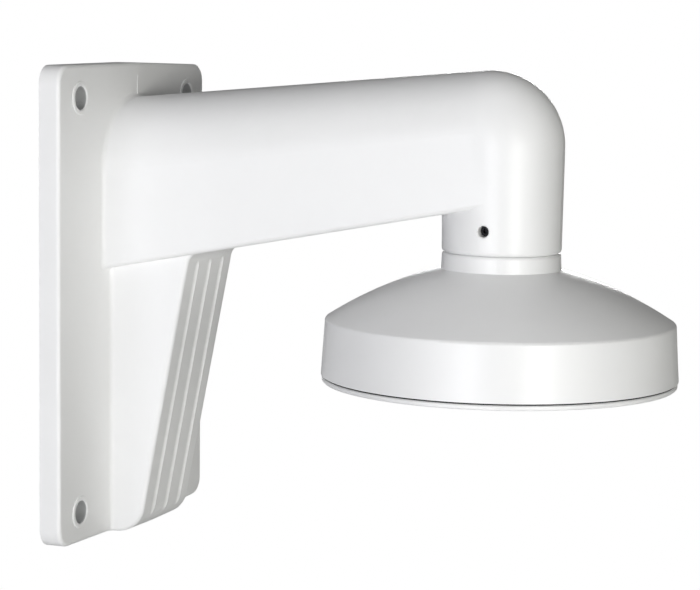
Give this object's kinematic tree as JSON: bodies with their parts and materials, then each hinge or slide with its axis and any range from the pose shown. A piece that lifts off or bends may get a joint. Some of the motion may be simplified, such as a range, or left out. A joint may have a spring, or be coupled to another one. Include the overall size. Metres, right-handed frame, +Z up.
{
  "type": "camera wall bracket",
  "caption": "White wall bracket: upright plate, hollow arm on a gusset, and a round pendant cap that a camera hangs from.",
  "frame": {"origin": "centre of the four wall holes, on the wall plane at the back of the wall plate", "axes": "+X out from the wall along the arm, +Z up, symmetric about the XZ plane"},
  "size_m": [0.2294, 0.134, 0.1853],
  "materials": {
    "white_paint": "satin",
    "black_steel": "satin",
    "black_rubber": "matte",
    "bright_steel": "satin"
  },
  "bodies": {
    "root": {"bracket_casting": "white_paint", "pendant_cap": "white_paint", "lock_screw": "black_steel", "cap_gasket": "black_rubber", "camera_plate": "white_paint", "plate_screws": "bright_steel"}
  },
  "joints": []
}
